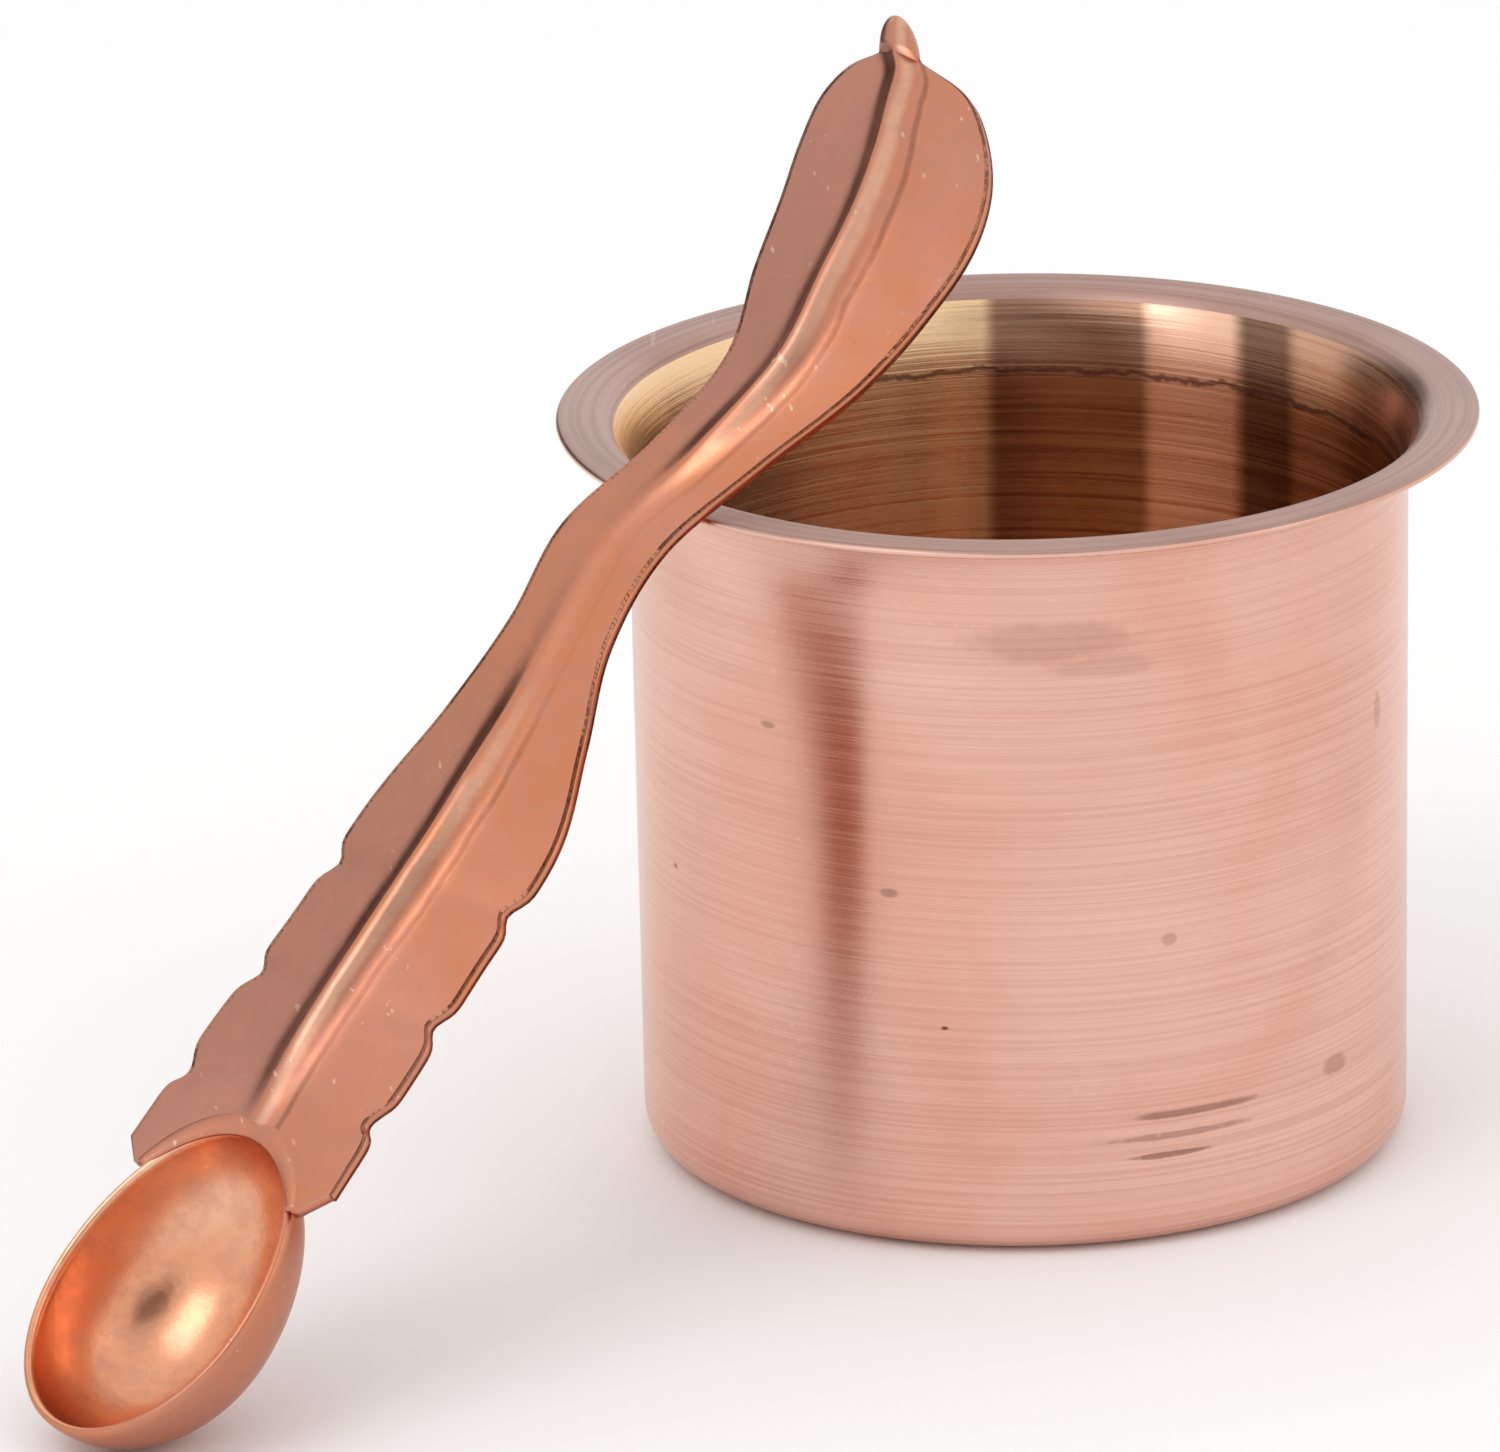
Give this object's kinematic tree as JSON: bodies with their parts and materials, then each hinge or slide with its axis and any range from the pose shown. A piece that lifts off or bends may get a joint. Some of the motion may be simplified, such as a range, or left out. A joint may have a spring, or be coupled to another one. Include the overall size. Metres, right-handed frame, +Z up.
{
  "type": "offering cup with spoon",
  "caption": "Small straight-sided metal cup with a flat turned-out lip, and a long leaf-handled spoon that leans on the lip.",
  "frame": {"origin": "centre of the cup's flat base, on the surface that it stands on", "axes": "+Z up along the cup's axis, +X to the right and +Y away from the viewer of the picture"},
  "size_m": [0.1296, 0.1255, 0.1034],
  "materials": {
    "cup_copper": "satin spun copper with fine turned rings",
    "spoon_copper": "satin pressed copper, a little blotchy"
  },
  "bodies": {
    "cup": {"cup_body": "cup_copper"},
    "spoon": {"spoon_bowl": "spoon_copper", "spoon_handle": "spoon_copper"}
  },
  "joints": [
    {"name": "spoon_lift", "type": "slide", "parent": "cup", "child": "spoon", "axis": [0, 0, 1], "range_m": [0, 0.075]}
  ]
}
